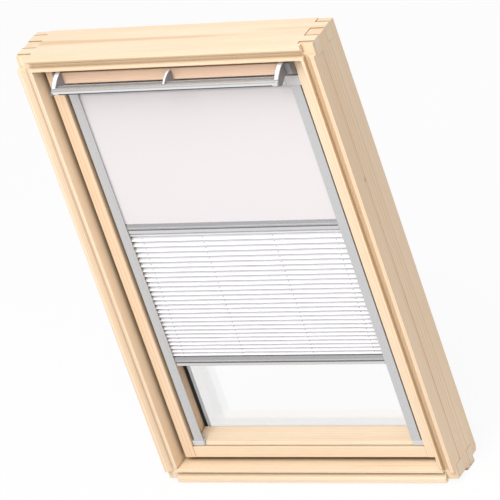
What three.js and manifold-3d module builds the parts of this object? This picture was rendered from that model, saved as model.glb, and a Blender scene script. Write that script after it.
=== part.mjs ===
// A centre-pivot roof window in pine with its double blind: a blackout cloth above, a pleated cloth below.
// Millimetres. X runs across the window, Y from the room to the outside, Z up along the window.
// The construction puts Y = 0 on the frame's room face. The finished group is moved so that the origin
// lies on the underside of the sill's foot, at its middle.

import * as THREE from 'three';
import { mergeVertices } from 'three/addons/utils/BufferGeometryUtils.js';
import Module from 'manifold-3d';

const wasm = await Module();
wasm.setup();

// Fits shared by many pieces
const fit = {
  joint: 0.3,       // line left between two fixed pieces that are cut to each other
  running: 0.5,     // gap round a piece that turns or slides
  overrun: 5,       // how far a cutting solid runs past what it cuts
};

// The outer frame
const frame = {
  width: 780,
  height: 1178,
  depth: 123.5,
  jambFace: 37,
  headFace: 38.5,
  sillFace: 43,
  innerLip: 9,
  innerRound: 2.8,
  grooveFloor: 6.5,
  jambOuterLip: 9,
  headOuterLip: 10.5,
  sillOuterLip: 9.5,
  sillLipRise: 5.5,
  liningDepth: 12,
  frontRise: 9.5,
  footFront: 60,
  footDepth: 38,
  rearRise: 16.5,
  rearChamferDepth: 5.5,
  rearChamferHeight: 11.5,
  sideLinePlace: 42,
  sideLineWidth: 2,
  sideLineDepth: 1.5,
  fingerRecess: 1.5,
};

// Where the comb joint's lines lie, as shares of the timber behind the lining groove
const combLineShares = [0, 0.08, 0.315, 0.59, 0.835, 1];

const frameCover = {
  thickness: 2,
  inset: 6.5,
  footInset: 2,
  reveal: 4,
  lip: 6,
};

// The opening sash
const sash = {
  gap: 11,
  recess: 34.5,
  depth: 81.5,
  stileFace: 29,
  lipDepth: 36,
  stepRun: 5.5,
  sightStep: 10,
  glassSeat: 59.5,
  glassBite: 22,
  glassBiteBottom: 40,
  bottomFace: 29.5,
  bottomSight: 48,
  bottomShelf: 5.5,
  bottomGroove: 3,
  bottomGrooveDepth: 4,
  bottomBead: 7,
  topFace: 45.5,
  topSight: 53,
};

const seal = {
  thickness: 4.5,
  width: 6,
  place: 51.5,
};

const glass = {
  pane: 4,
  cavity: 12,
  gasket: 2,
  clearance: 4,
  edgeInset: 1,
  sealantWidth: 15,
  spacerWidth: 9,
  gasketReach: 6,
  gasketHold: 12,
  gasketHidden: 2,
};

const sashCover = {
  thickness: 2,
  inset: 2,
  sightReach: 4,
  sillReach: 14,
};

// The centre pivot
const pivot = {
  fromRecess: 33.5,
  plate: 2.5,
  framePlateWidth: 34,
  framePlateLength: 140,
  sashPlateWidth: 32,
  sashPlateLength: 124,
  pin: 5,
  pinEnd: 0.3,
  bushWall: 4,
  bushHeight: 2.7,
  screwRadius: 4,
  screwHead: 1.2,
  screwFromEnd: 20,
};

// The ventilation flap at the top of the sash, which carries the control bar. Its board stands proud of
// the stiles, and its thickness is counted from their room face to its back.
const flap = {
  proud: 18.5,
  thickness: 26,
  height: 39.5,
  topInset: 1,
  backGap: 0.5,
  endCap: 13.5,
  sideGap: 0.5,
  axisBack: 6.5,
  axisUp: 5.5,
  pin: 2.5,
  pinLength: 7,
};

// The arm's side view: places out from the stiles' room face and up from the board's lower edge
const arm = {
  width: 13,
  inset: 13.5,
  cheek: 2.5,
  heelUp: 8,
  crownOut: 19.5,
  crownUp: 42.5,
  browOut: 46.5,      // where the crown would come to a point if it weren't curved
  browUp: 38.6,
  noseOut: 68.5,
  noseUp: 9.5,
  toeOut: 53,
  toeUp: 1.5,
  hollowOut: 31,
  hollowUp: 12.3,
};

// The middle arm is slimmer and lower than the two at the sides
const middleArm = {
  width: 8,
  crownOut: 19.5,
  crownUp: 36,
  browOut: 50,
  browUp: 37,
};

const bar = {
  setBack: 4,
  up: 13.6,
  height: 16,
  frontRadius: 8,
  flat: 7,
  finHeight: 2.5,
  finThickness: 1.5,
};

// The blind's side rails, headbox and caps. The rails stand on the bottom rail's bead, over its groove.
const rail = {
  face: 24,
  valley: 1.2,
  sideGap: 7.5,
  depth: 20,
  wall: 1.6,
  backFlange: 10.5,
};

const railCap = {
  proud: 0.5,
  headReach: 33.5,
  bottomHeight: 12.7,
  bottomGap: 0.3,
  wall: 2,
};

const headbox = {
  height: 25.2,
  depth: 30.8,
  topGap: 6.6,
  wall: 1.6,
  slotFront: 4.5,
};

const roller = {
  tube: 6.5,
  bore: 5,
  wound: 10.7,
  spindle: 4.5,
  endGap: 7,
  spindleLength: 17,
  spring: 4.2,
  springLength: 180,
};

const cloth = {
  thickness: 0.8,
  halfWidthInset: 14,
  fromRailFace: 5.6,
};

const pleats = {
  count: 28,
  depth: 12,
  fromRailFace: 3.5,
  endGap: 2,
  thickness: 2,       // across the fold, front to back: the cloth itself is thinner
  topShare: 1.2,      // pitch at the top as a share of the mean pitch
};

// The two bars of the blind, with the heights at which the photographed blind hangs
const blindBar = {
  depth: 14,
  fromRailFace: 1,
  endGap: 1.5,
  blackoutHeight: 24.8,
  blackoutTop: 700.3,
  pleatHeight: 22,
  pleatTop: 330.3,
};

// The bar's section as shares of its depth and of its height, from the back lower corner round
const barSectionShares = [
  [1, 0], [1, 1], [0.31, 1], [0.08, 0.76], [0, 0.7], [0, 0.62], [0.07, 0.57],
  [0.26, 0.53], [0.26, 0.4], [0.08, 0.35], [0.05, 0.06], [0.12, 0],
];

const slider = {
  height: 18,
  depth: 12,
  length: 20,
};

// Counts for round and curved shapes
const roundSegments = 24;
const curveSteps = 10;
const roundSteps = 4;

// Places worked out from the sizes above
const halfWidth = frame.width / 2;
const openX = halfWidth - frame.jambFace;
const openTop = frame.height - frame.headFace;
const openBottom = frame.sillFace;
const ringX = openX + frame.innerLip;
const ringTop = openTop + frame.innerLip;
const ringBottom = openBottom - frame.innerLip;
const grooveEndX = ringX + frame.grooveFloor;
const grooveEndTop = ringTop + frame.grooveFloor;
const grooveEndBottom = ringBottom - frame.grooveFloor;
const combDepth = frame.depth - frame.liningDepth;
const combLines = combLineShares.map((share) => frame.liningDepth + share * combDepth);
const footMiddle = frame.footFront + frame.footDepth / 2;

const sashX = openX - sash.gap;
const sashTop = openTop - sash.gap;
const sashBottom = openBottom + sash.gap;
const sashFront = sash.recess;
const sashBack = sashFront + sash.depth;
const stileInner = sashX - sash.stileFace;
const sightX = stileInner - sash.sightStep;
const sightTop = sashTop - sash.topSight;
const sightBottom = sashBottom + sash.bottomSight;
const lipBack = sashFront + sash.lipDepth;
const stepBack = lipBack + sash.stepRun;
const seatY = sashFront + sash.glassSeat;
const rebateX = sightX + sash.glassBite;
const rebateTop = sightTop + sash.glassBite;
const rebateBottom = sightBottom - sash.glassBiteBottom;
const topRailBottom = sashTop - sash.topFace;
const bottomLipTop = sashBottom + sash.bottomFace;
const beadFront = sashFront + sash.bottomShelf + sash.bottomGroove;
const beadBack = beadFront + sash.bottomBead;
const beadTop = bottomLipTop + sash.bottomBead;

const glassX = rebateX - glass.clearance;
const glassTop = rebateTop - glass.clearance;
const glassBottom = rebateBottom + glass.clearance;
const innerPaneY = seatY + glass.gasket;
const cavityY = innerPaneY + glass.pane;
const outerPaneY = cavityY + glass.cavity;
const glassBack = outerPaneY + glass.pane;

const pivotY = sashFront + pivot.fromRecess;
const pivotZ = (sashTop + sashBottom) / 2;

const flapBottom = sashTop - flap.topInset - flap.height;
const flapTop = sashTop - flap.topInset;
const flapX = stileInner - flap.sideGap;
const flapAxisY = sashFront + flap.axisBack;
const flapAxisZ = flapBottom + flap.axisUp;
const flapSwing = Math.hypot(flap.thickness - flap.axisBack, flap.axisUp);
const topRailFront = flapAxisY + flapSwing + flap.backGap;
const boardX = flapX - flap.endCap;
const boardFront = sashFront - flap.proud;
const armOuterX = stileInner - arm.inset;
const armInnerX = armOuterX - arm.width;
const barEndX = armOuterX - arm.cheek - fit.joint;
const barMiddleZ = flapBottom + bar.up;
const barFrontCentreY = sashFront - arm.noseOut + bar.setBack + bar.frontRadius;
const barBackY = barFrontCentreY + bar.flat;

const railOuterX = stileInner - rail.sideGap;
const railInnerX = railOuterX - rail.face;
const railFront = sashFront + sash.bottomShelf;
const railBack = railFront + rail.depth;
const headTop = flapBottom - headbox.topGap;
const headBottom = headTop - headbox.height;
const headFront = railFront - railCap.proud;
const headBack = headFront + headbox.depth;
const capInnerX = railOuterX - railCap.headReach;
const bottomCapBottom = bottomLipTop + railCap.bottomGap;
const bottomCapTop = bottomCapBottom + railCap.bottomHeight;

const clothX = railOuterX - cloth.halfWidthInset;
const clothFront = railFront + cloth.fromRailFace;
const clothBack = clothFront + cloth.thickness;
const rollerY = clothBack + fit.joint + roller.wound;
const rollerZ = headBottom + roller.wound + fit.joint;
const tubeX = railOuterX - railCap.wall - roller.endGap;

const blackoutBarBottom = blindBar.blackoutTop - blindBar.blackoutHeight;
const barFront = railFront + blindBar.fromRailFace;
const blindBarX = railInnerX - blindBar.endGap;
const pleatX = railInnerX - pleats.endGap;
const sliderFront = railFront + (rail.depth - slider.depth) / 2;

// Finishes

function finish(color, roughness, metalness) {
  return new THREE.MeshStandardMaterial({ color, roughness, metalness });
}

const finishes = {
  pine: finish(0xf3d3a8, 0.55, 0),
  cover: finish(0x4b4d50, 0.5, 0.6),
  rubber: finish(0x1d1d1f, 0.8, 0),
  glass: finish(0xe8f0ee, 0.08, 0),
  spacer: finish(0xc9cccd, 0.35, 0.8),
  sealant: finish(0x2b2b2d, 0.7, 0),
  steel: finish(0xa9adb1, 0.35, 0.9),
  aluminium: finish(0xc4c5c6, 0.32, 0.85),
  armGrey: finish(0x7d7d82, 0.45, 0.3),
  railSilver: finish(0xcfcfd1, 0.35, 0.7),
  capGrey: finish(0xd4d4d5, 0.5, 0),
  blackout: finish(0xf6f1f2, 0.85, 0),
  pleat: finish(0xfaf9fa, 0.9, 0),
  slider: finish(0xb4b5b8, 0.55, 0),
};

// Shape helpers

const axisX = new THREE.Vector3(1, 0, 0);
const axisY = new THREE.Vector3(0, 1, 0);
const axisZ = new THREE.Vector3(0, 0, 1);

function shapeOf(points) {
  return new THREE.Shape(points.map(([a, b]) => new THREE.Vector2(a, b)));
}

function extrude(shape, length) {
  return new THREE.ExtrudeGeometry(shape, { depth: length, bevelEnabled: false });
}

// A section drawn in Y and Z, run along X from one place to the other
function alongX(points, fromX, toX) {
  const geometry = extrude(shapeOf(points), Math.abs(toX - fromX));
  geometry.applyMatrix4(new THREE.Matrix4().makeBasis(axisY, axisZ, axisX));
  return geometry.translate(Math.min(fromX, toX), 0, 0);
}

// A section drawn in X and Y, run along Z
function alongZ(points, fromZ, toZ) {
  return extrude(shapeOf(points), toZ - fromZ).translate(0, 0, fromZ);
}

// A rectangular ring drawn in X and Z, run along Y
function ring(outer, inner, fromY, toY) {
  const shape = shapeOf(rectangle(outer.left, outer.bottom, outer.right, outer.top));
  shape.holes.push(new THREE.Path(
    rectangle(inner.left, inner.bottom, inner.right, inner.top).map(([a, b]) => new THREE.Vector2(a, b)),
  ));
  const geometry = extrude(shape, toY - fromY);
  geometry.applyMatrix4(new THREE.Matrix4().makeBasis(axisX, axisZ, axisY.clone().negate()));
  return geometry.translate(0, toY, 0);
}

function rectangle(left, bottom, right, top) {
  return [[left, bottom], [right, bottom], [right, top], [left, top]];
}

function block(fromX, toX, fromY, toY, fromZ, toZ) {
  const geometry = new THREE.BoxGeometry(Math.abs(toX - fromX), Math.abs(toY - fromY), Math.abs(toZ - fromZ));
  return geometry.translate((fromX + toX) / 2, (fromY + toY) / 2, (fromZ + toZ) / 2);
}

// A round bar along X
function roundAlongX(radius, fromX, toX, y, z) {
  const geometry = new THREE.CylinderGeometry(radius, radius, Math.abs(toX - fromX), roundSegments);
  geometry.rotateZ(Math.PI / 2);
  return geometry.translate((fromX + toX) / 2, y, z);
}

// A round tube along X, turned from a closed profile
function tubeAlongX(bore, radius, fromX, toX, y, z) {
  const length = Math.abs(toX - fromX);
  const profile = [[bore, 0], [radius, 0], [radius, length], [bore, length], [bore, 0]];
  const geometry = new THREE.LatheGeometry(profile.map(([r, h]) => new THREE.Vector2(r, h)), roundSegments);
  geometry.rotateZ(-Math.PI / 2);
  return geometry.translate(Math.min(fromX, toX), y, z);
}

// A folded strip of cloth between two X places: the section's points in Y and Z are its room face, going down
function foldedStrip(points, thickness, fromX, toX) {
  const corners = points.flatMap(([y, z]) => [
    fromX, y, z, toX, y, z, toX, y + thickness, z, fromX, y + thickness, z,
  ]);
  const perPoint = 4;
  const faces = [];
  const quad = (a, b, c, d) => faces.push(a, c, b, a, d, c);
  points.slice(1).forEach((_, index) => {
    const near = index * perPoint;
    const far = near + perPoint;
    for (let edge = 0; edge < perPoint; edge += 1) {
      const next = (edge + 1) % perPoint;
      quad(near + edge, near + next, far + next, far + edge);
    }
  });
  const last = (points.length - 1) * perPoint;
  quad(3, 2, 1, 0);
  quad(last, last + 1, last + 2, last + 3);
  const geometry = new THREE.BufferGeometry();
  geometry.setAttribute('position', new THREE.Float32BufferAttribute(corners, 3));
  geometry.setIndex(faces);
  geometry.computeVertexNormals();
  return geometry;
}

function solidOf(geometry) {
  const bare = geometry.clone();
  bare.deleteAttribute('normal');
  bare.deleteAttribute('uv');
  const merged = mergeVertices(bare);
  return new wasm.Manifold(new wasm.Mesh({
    numProp: 3,
    vertProperties: new Float32Array(merged.attributes.position.array),
    triVerts: new Uint32Array(merged.index.array),
  }));
}

function geometryOf(solid) {
  const mesh = solid.getMesh();
  const geometry = new THREE.BufferGeometry();
  geometry.setAttribute('position', new THREE.BufferAttribute(new Float32Array(mesh.vertProperties), 3));
  geometry.setIndex(new THREE.BufferAttribute(new Uint32Array(mesh.triVerts), 1));
  geometry.computeVertexNormals();
  return geometry;
}

function cut(geometry, ...cutters) {
  return geometryOf(cutters.reduce((solid, cutter) => solid.subtract(solidOf(cutter)), solidOf(geometry)));
}

function join(geometry, ...others) {
  return geometryOf(others.reduce((solid, other) => solid.add(solidOf(other)), solidOf(geometry)));
}

function piece(name, geometry, material) {
  const mesh = new THREE.Mesh(geometry, material);
  mesh.name = name;
  return mesh;
}

const sides = [
  { name: 'left', sign: -1 },
  { name: 'right', sign: 1 },
];

// Frame: section of the timber's lower end, shared by the sill and both jambs

function underside() {
  return [
    [frame.liningDepth, frame.frontRise],
    [frame.footFront, frame.frontRise],
    [frame.footFront, 0],
    [frame.footFront + frame.footDepth, 0],
    [frame.footFront + frame.footDepth, frame.rearRise],
    [frame.depth - frame.rearChamferDepth, frame.rearRise],
    [frame.depth, frame.rearRise + frame.rearChamferHeight],
  ];
}

// What the rounding takes off a member's front edge by the opening, as depth and distance from the opening
function edgeRound() {
  const radius = frame.innerRound;
  const arc = [];
  for (let step = 0; step <= roundSteps; step += 1) {
    const angle = (Math.PI / 2) * (step / roundSteps);
    arc.push([radius * (1 - Math.sin(angle)), radius * (1 - Math.cos(angle))]);
  }
  return [[-fit.overrun, radius], [-fit.overrun, -fit.overrun], [radius, -fit.overrun], ...arc];
}

// One finger's slot of the comb joint, cut out of the member that doesn't own the finger
function combSlot(sign, index, fromZ, toZ) {
  return block(
    sign * (openX - fit.joint), sign * (halfWidth + fit.overrun),
    combLines[index] - fit.joint / 2,
    combLines[index + 1] + (index + 2 === combLines.length ? fit.overrun : fit.joint / 2),
    fromZ, toZ,
  );
}

function fingers(owner) {
  return combLines.slice(1).map((_, index) => index).filter((index) => index % 2 === owner);
}

function cornerStep(sign, fromZ, toZ) {
  return block(
    sign * ringX, sign * (halfWidth + fit.overrun), -fit.overrun, frame.liningDepth + fit.joint / 2,
    fromZ, toZ,
  );
}

function frameHead() {
  const section = [
    [0, openTop], [0, ringTop], [frame.liningDepth, ringTop],
    [frame.liningDepth, grooveEndTop], [0, frame.height - frame.headOuterLip],
    [0, frame.height], [frame.depth, frame.height], [frame.depth, openTop],
  ];
  const cutters = [
    alongX(edgeRound().map(([y, z]) => [y, openTop + z]), -openX, openX),
    ...sides.flatMap(({ sign }) => [
      cornerStep(sign, openTop - fit.overrun, frame.height + fit.overrun),
      ...fingers(0).map((index) => combSlot(sign, index, openTop - fit.overrun, frame.height + fit.overrun)),
    ]),
  ];
  return piece('frame_head', cut(alongX(section, -halfWidth, halfWidth), ...cutters), finishes.pine);
}

function frameSill() {
  const lipTop = frame.sillLipRise + frame.sillOuterLip;
  const section = [
    [0, frame.sillLipRise], [0, lipTop], [frame.liningDepth, grooveEndBottom],
    [frame.liningDepth, ringBottom], [0, ringBottom], [0, openBottom], [frame.depth, openBottom],
    ...underside().reverse(), [frame.liningDepth, frame.sillLipRise],
  ];
  const cutters = [
    alongX(edgeRound().map(([y, z]) => [y, openBottom - z]), -openX, openX),
    ...sides.flatMap(({ sign }) => [
      cornerStep(sign, -fit.overrun, openBottom + fit.overrun),
      ...fingers(0).map((index) => combSlot(sign, index, -fit.overrun, openBottom + fit.overrun)),
    ]),
  ];
  return piece('frame_sill', cut(alongX(section, -halfWidth, halfWidth), ...cutters), finishes.pine);
}

function frameJamb({ name, sign }) {
  const lineEnd = frame.sideLinePlace + frame.sideLineWidth;
  const section = [
    [openX, 0], [ringX, 0], [ringX, frame.liningDepth],
    [grooveEndX, frame.liningDepth], [halfWidth - frame.jambOuterLip, 0],
    [halfWidth, 0], [halfWidth, frame.sideLinePlace],
    [halfWidth - frame.sideLineDepth, frame.sideLinePlace], [halfWidth - frame.sideLineDepth, lineEnd],
    [halfWidth, lineEnd], [halfWidth, frame.depth], [openX, frame.depth],
  ].map(([x, y]) => [sign * x, y]);
  const below = [
    [-fit.overrun, -fit.overrun], [-fit.overrun, frame.frontRise], ...underside(),
    [frame.depth + fit.overrun, frame.rearRise + frame.rearChamferHeight],
    [frame.depth + fit.overrun, -fit.overrun],
  ];
  const inner = sign * (openX - fit.overrun);
  const outer = sign * (halfWidth + fit.overrun);
  const front = [-fit.overrun, frame.liningDepth];
  const cutters = [
    alongZ(edgeRound().map(([y, x]) => [sign * (openX + x), y]), openBottom, openTop),
    alongX(below, inner, outer),
    block(inner, outer, ...front, -fit.overrun, ringBottom),
    block(inner, outer, ...front, ringTop, frame.height + fit.overrun),
    block(inner, sign * (ringX + fit.joint), ...front, -fit.overrun, openBottom + fit.joint),
    block(inner, sign * (ringX + fit.joint), ...front, openTop - fit.joint, frame.height + fit.overrun),
    ...fingers(1).flatMap((index) => [
      combSlot(sign, index, openTop - fit.joint, frame.height + fit.overrun),
      combSlot(sign, index, -fit.overrun, openBottom + fit.joint),
    ]),
  ];
  const timber = alongZ(section, 0, frame.height - frame.fingerRecess);
  return piece(`frame_jamb_${name}`, cut(timber, ...cutters), finishes.pine);
}

function frameCovers() {
  const base = frame.depth;
  const top = base + frameCover.thickness;
  const lip = top + frameCover.lip;
  const inner = openX + frameCover.reveal;
  const outer = halfWidth - frameCover.inset;
  const bottom = frame.rearRise + frame.rearChamferHeight + frameCover.footInset;
  const height = frame.height - frameCover.inset;
  const sideSection = [
    [inner, base], [outer, base], [outer, lip], [outer - frameCover.thickness, lip],
    [outer - frameCover.thickness, top], [inner, top],
  ];
  const topSection = [
    [base, openTop + frameCover.reveal], [base, height], [lip, height],
    [lip, height - frameCover.thickness], [top, height - frameCover.thickness],
    [top, openTop + frameCover.reveal],
  ];
  const bottomSection = [
    [base, openBottom - frameCover.footInset], [base, bottom], [lip, bottom],
    [lip, bottom + frameCover.thickness], [top, bottom + frameCover.thickness],
    [top, openBottom - frameCover.footInset],
  ];
  const between = inner - fit.joint;
  return [
    ...sides.map(({ name, sign }) => piece(
      `frame_cover_${name}`,
      alongZ(sideSection.map(([x, y]) => [sign * x, y]), bottom, height),
      finishes.cover,
    )),
    piece('frame_cover_top', alongX(topSection, -between, between), finishes.cover),
    piece('frame_cover_bottom', alongX(bottomSection, -between, between), finishes.cover),
  ];
}

// Centre pivot: a plate with a bush on each jamb and a plate with a pin on each stile

function plateBlock(sign, fromX, toX, width, length) {
  return block(
    sign * fromX, sign * toX, pivotY - width / 2, pivotY + width / 2,
    pivotZ - length / 2, pivotZ + length / 2,
  );
}

function framePivot({ name, sign }) {
  const face = openX - pivot.plate;
  const bushFace = face - pivot.bushHeight;
  const plate = join(
    plateBlock(sign, face, openX, pivot.framePlateWidth, pivot.framePlateLength),
    roundAlongX(
      pivot.pin + fit.running + pivot.bushWall, sign * bushFace, sign * (face + fit.running), pivotY, pivotZ,
    ),
  );
  const bored = cut(plate, roundAlongX(
    pivot.pin + fit.running, sign * (bushFace - fit.overrun), sign * (openX + fit.overrun), pivotY, pivotZ,
  ));
  const screwOffset = pivot.framePlateLength / 2 - pivot.screwFromEnd;
  const screws = [{ end: 'lower', up: -1 }, { end: 'upper', up: 1 }].map(({ end, up }) => piece(
    `frame_hinge_screw_${name}_${end}`,
    roundAlongX(
      pivot.screwRadius, sign * (face - pivot.screwHead), sign * face, pivotY, pivotZ + up * screwOffset,
    ),
    finishes.steel,
  ));
  return [piece(`frame_hinge_plate_${name}`, bored, finishes.steel), ...screws];
}

function sashPivot({ name, sign }) {
  const face = sashX + pivot.plate;
  const plate = join(
    plateBlock(sign, sashX, face, pivot.sashPlateWidth, pivot.sashPlateLength),
    roundAlongX(pivot.pin, sign * (face - fit.running), sign * (openX - pivot.pinEnd), pivotY, pivotZ),
  );
  return piece(`sash_hinge_plate_${name}`, plate, finishes.steel);
}

// Sash timber

// The stile's section on one side. Grown by a joint's width, it also cuts the rails' ends.
function stileSection(sign, grow) {
  return [
    [sashX + grow, sashFront - grow], [sashX + grow, sashBack + grow],
    [rebateX - grow, sashBack + grow], [rebateX - grow, seatY],
    [sightX - grow, seatY], [sightX - grow, stepBack],
    [stileInner - grow, lipBack], [stileInner - grow, sashFront - grow],
  ].map(([x, y]) => [sign * x, y]);
}

function sashStile({ name, sign }) {
  const pinHole = roundAlongX(
    flap.pin + fit.running,
    sign * (stileInner - fit.overrun), sign * (stileInner + flap.pinLength + fit.running),
    flapAxisY, flapAxisZ,
  );
  const timber = alongZ(stileSection(sign, 0), sashBottom, sashTop);
  return piece(`sash_stile_${name}`, cut(timber, pinHole), finishes.pine);
}

function betweenStiles(section) {
  const cutters = sides.map(({ sign }) => alongZ(
    stileSection(sign, fit.joint), sashBottom - fit.overrun, sashTop + fit.overrun,
  ));
  return cut(alongX(section, -sashX, sashX), ...cutters);
}

function sashTopRail() {
  const section = [
    [topRailFront, topRailBottom], [topRailFront, sashTop], [sashBack, sashTop], [sashBack, rebateTop],
    [seatY, rebateTop], [seatY, sightTop], [stepBack, sightTop], [lipBack, topRailBottom],
  ];
  return piece('sash_top_rail', betweenStiles(section), finishes.pine);
}

function sashBottomRail() {
  const shelfBack = sashFront + sash.bottomShelf;
  const grooveFloor = bottomLipTop - sash.bottomGrooveDepth;
  const section = [
    [sashFront, sashBottom], [sashFront, bottomLipTop], [shelfBack, bottomLipTop],
    [shelfBack, grooveFloor], [beadFront, grooveFloor], [beadFront, bottomLipTop], [beadBack, beadTop],
    [seatY, sightBottom], [seatY, rebateBottom], [sashBack, rebateBottom], [sashBack, sashBottom],
  ];
  return piece('sash_bottom_rail', betweenStiles(section), finishes.pine);
}

function sashSeal() {
  const outer = {
    left: -sashX - seal.thickness, right: sashX + seal.thickness,
    bottom: sashBottom - seal.thickness, top: sashTop + seal.thickness,
  };
  const inner = { left: -sashX, right: sashX, bottom: sashBottom, top: sashTop };
  const place = sashFront + seal.place;
  return piece('sash_seal', ring(outer, inner, place, place + seal.width), finishes.rubber);
}

// The height of the bottom rail's wash, which rises gently from its bead to the glass
function washAt(y) {
  return beadTop + (sightBottom - beadTop) * (y - beadBack) / (seatY - beadBack);
}

// The sealed glass unit

function insetRectangle(inset) {
  return {
    left: -glassX + inset, right: glassX - inset, bottom: glassBottom + inset, top: glassTop - inset,
  };
}

function glazing() {
  const sealantInner = insetRectangle(glass.edgeInset + glass.sealantWidth);
  const spacerInner = insetRectangle(glass.edgeInset + glass.sealantWidth + glass.spacerWidth);
  const gasketInner = {
    left: -sightX + glass.gasketReach, right: sightX - glass.gasketReach,
    bottom: sightBottom - glass.gasketHidden, top: sightTop - glass.gasketReach,
  };
  const gasketOuter = {
    left: -sightX - glass.gasketHold, right: sightX + glass.gasketHold,
    bottom: sightBottom - glass.gasketHold, top: sightTop + glass.gasketHold,
  };
  return [
    piece('glazing_gasket', ring(gasketOuter, gasketInner, seatY, innerPaneY), finishes.rubber),
    piece('pane_inner', block(-glassX, glassX, innerPaneY, cavityY, glassBottom, glassTop), finishes.glass),
    piece('glass_spacer', ring(sealantInner, spacerInner, cavityY, outerPaneY), finishes.spacer),
    piece('glass_edge_seal', ring(insetRectangle(glass.edgeInset), sealantInner, cavityY, outerPaneY),
      finishes.sealant),
    piece('pane_outer', block(-glassX, glassX, outerPaneY, glassBack, glassBottom, glassTop), finishes.glass),
  ];
}

function sashCovers() {
  const back = sashBack + sashCover.thickness;
  const outer = sashX - sashCover.inset;
  const inner = sightX - sashCover.sightReach;
  const between = inner - fit.joint;
  const bottom = sashBottom + sashCover.inset;
  const top = sashTop - sashCover.inset;
  return [
    ...sides.map(({ name, sign }) => piece(
      `sash_cover_${name}`, block(sign * inner, sign * outer, sashBack, back, bottom, top), finishes.cover,
    )),
    piece('sash_cover_top', block(
      -between, between, sashBack, back, sightTop - sashCover.sightReach, top,
    ), finishes.cover),
    piece('sash_cover_bottom', block(
      -between, between, sashBack, back, bottom, sightBottom - sashCover.sillReach,
    ), finishes.cover),
  ];
}

// Ventilation flap, control arms and control bar

function flapBoard() {
  return piece('flap_board', block(
    -boardX + fit.joint, boardX - fit.joint, boardFront, sashFront + flap.thickness, flapBottom, flapTop,
  ), finishes.pine);
}

function flapEndCap({ name, sign }) {
  const cap = join(
    block(sign * boardX, sign * flapX, boardFront, sashFront + flap.thickness, flapBottom, flapTop),
    roundAlongX(
      flap.pin, sign * (flapX - fit.running), sign * (stileInner + flap.pinLength), flapAxisY, flapAxisZ,
    ),
  );
  return piece(`flap_end_cap_${name}`, cap, finishes.armGrey);
}

// The arm's side view: a crown that bows forward over the bar, a toe under it and a hollow underside
function armSection({ crownOut, crownUp, browOut, browUp }) {
  const place = (out, up) => new THREE.Vector2(sashFront - out, flapBottom + up);
  const crown = new THREE.QuadraticBezierCurve(
    place(crownOut, crownUp), place(browOut, browUp), place(arm.noseOut, arm.noseUp),
  ).getPoints(curveSteps);
  return [
    place(flap.proud, arm.heelUp), place(flap.proud, crownUp), ...crown, place(arm.toeOut, arm.toeUp),
    place(arm.hollowOut, arm.hollowUp),
  ].map((point) => point.toArray());
}

// The bar's section: round to the room, flat behind, with a thin fin along its upper back edge
function barSection(grow) {
  const points = [];
  for (let step = 0; step <= curveSteps; step += 1) {
    const angle = Math.PI * (1 / 2 + step / curveSteps);
    points.push([
      barFrontCentreY + (bar.frontRadius + grow) * Math.cos(angle),
      barMiddleZ + (bar.height / 2 + grow) * Math.sin(angle),
    ]);
  }
  const back = barBackY + grow;
  const top = barMiddleZ + bar.height / 2 + grow;
  return [
    ...points,
    [back, barMiddleZ - bar.height / 2 - grow],
    [back, top + bar.finHeight],
    [back - bar.finThickness - 2 * grow, top + bar.finHeight],
    [back - bar.finThickness - 2 * grow, top],
  ];
}

function controlBar() {
  return piece('control_bar', alongX(barSection(0), -barEndX, barEndX), finishes.aluminium);
}

// The room that the bar takes in an arm: its own section, and all in front of it and below it
function barRoom(fromX, toX) {
  const front = sashFront - arm.noseOut - fit.overrun;
  const top = barMiddleZ + bar.height / 4;
  return [
    alongX(barSection(fit.joint), fromX, toX),
    block(fromX, toX, front, barBackY + fit.joint, flapBottom - fit.overrun, top),
  ];
}

function controlArms() {
  const middle = cut(
    alongX(armSection(middleArm), -middleArm.width / 2, middleArm.width / 2),
    ...barRoom(-middleArm.width, middleArm.width),
  );
  return [
    ...sides.map(({ name, sign }) => piece(`control_arm_${name}`, cut(
      alongX(armSection(arm), sign * armInnerX, sign * armOuterX),
      ...barRoom(sign * (armInnerX - fit.overrun), sign * (armOuterX - arm.cheek)),
    ), finishes.armGrey)),
    piece('control_arm_middle', middle, finishes.armGrey),
  ];
}

// Side rails: a face to the room that dips along its middle, a web by the stile and a narrow flange behind

function blindRail({ name, sign }) {
  const inside = railOuterX - rail.wall;
  const middle = (railInnerX + railOuterX) / 2;
  const section = [
    [railInnerX, railFront], [middle, railFront + rail.valley], [railOuterX, railFront],
    [railOuterX, railBack], [railOuterX - rail.backFlange, railBack],
    [railOuterX - rail.backFlange, railBack - rail.wall], [inside, railBack - rail.wall],
    [inside, railFront + rail.wall], [middle, railFront + rail.valley + rail.wall],
    [railInnerX, railFront + rail.wall],
  ].map(([x, y]) => [sign * x, y]);
  return piece(
    `blind_rail_${name}`, alongZ(section, bottomCapTop, headBottom - fit.joint), finishes.railSilver,
  );
}

function railTopCap({ name, sign }) {
  const outerFace = stileInner - fit.joint;
  const shell = cut(
    block(sign * capInnerX, sign * outerFace, headFront, headBack, headBottom, headTop),
    block(
      sign * (capInnerX - fit.overrun), sign * (railOuterX - railCap.wall),
      headFront + railCap.wall, headBack - railCap.wall,
      headBottom - fit.overrun, headTop - railCap.wall,
    ),
  );
  const spindleRoot = railOuterX - railCap.wall;
  const withSpindle = join(shell, roundAlongX(
    roller.spindle, sign * (spindleRoot - roller.spindleLength), sign * (spindleRoot + railCap.wall / 2),
    rollerY, rollerZ,
  ));
  return piece(`rail_top_cap_${name}`, withSpindle, finishes.capGrey);
}

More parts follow.
